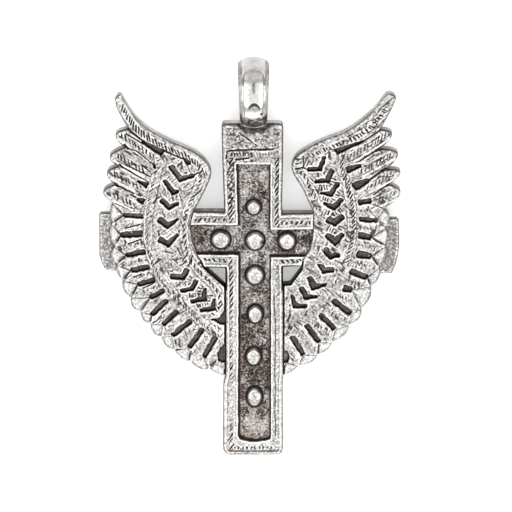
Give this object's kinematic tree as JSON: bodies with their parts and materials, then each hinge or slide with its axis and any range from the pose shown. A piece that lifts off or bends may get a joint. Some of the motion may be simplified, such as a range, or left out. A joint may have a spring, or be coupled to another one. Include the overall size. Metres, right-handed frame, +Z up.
{
  "type": "ethiopian winged cross pendant",
  "caption": "Cast white metal cross pendant with a studded sunken field, spread feathered wings behind its arms and a ring bail.",
  "frame": {"origin": "middle of the hole through the bail", "axes": "+X along the bail hole, to the right as worn; +Y from the foot of the cross towards the bail; +Z up from the surface it lies on, out of the studded face"},
  "size_m": [0.0527, 0.0722, 0.0124],
  "materials": {
    "antique_silver": "cast white metal, silver plated, worn bright on the raised parts with dark patina in the recesses"
  },
  "bodies": {
    "root": {"pendant": "antique_silver"}
  },
  "joints": []
}
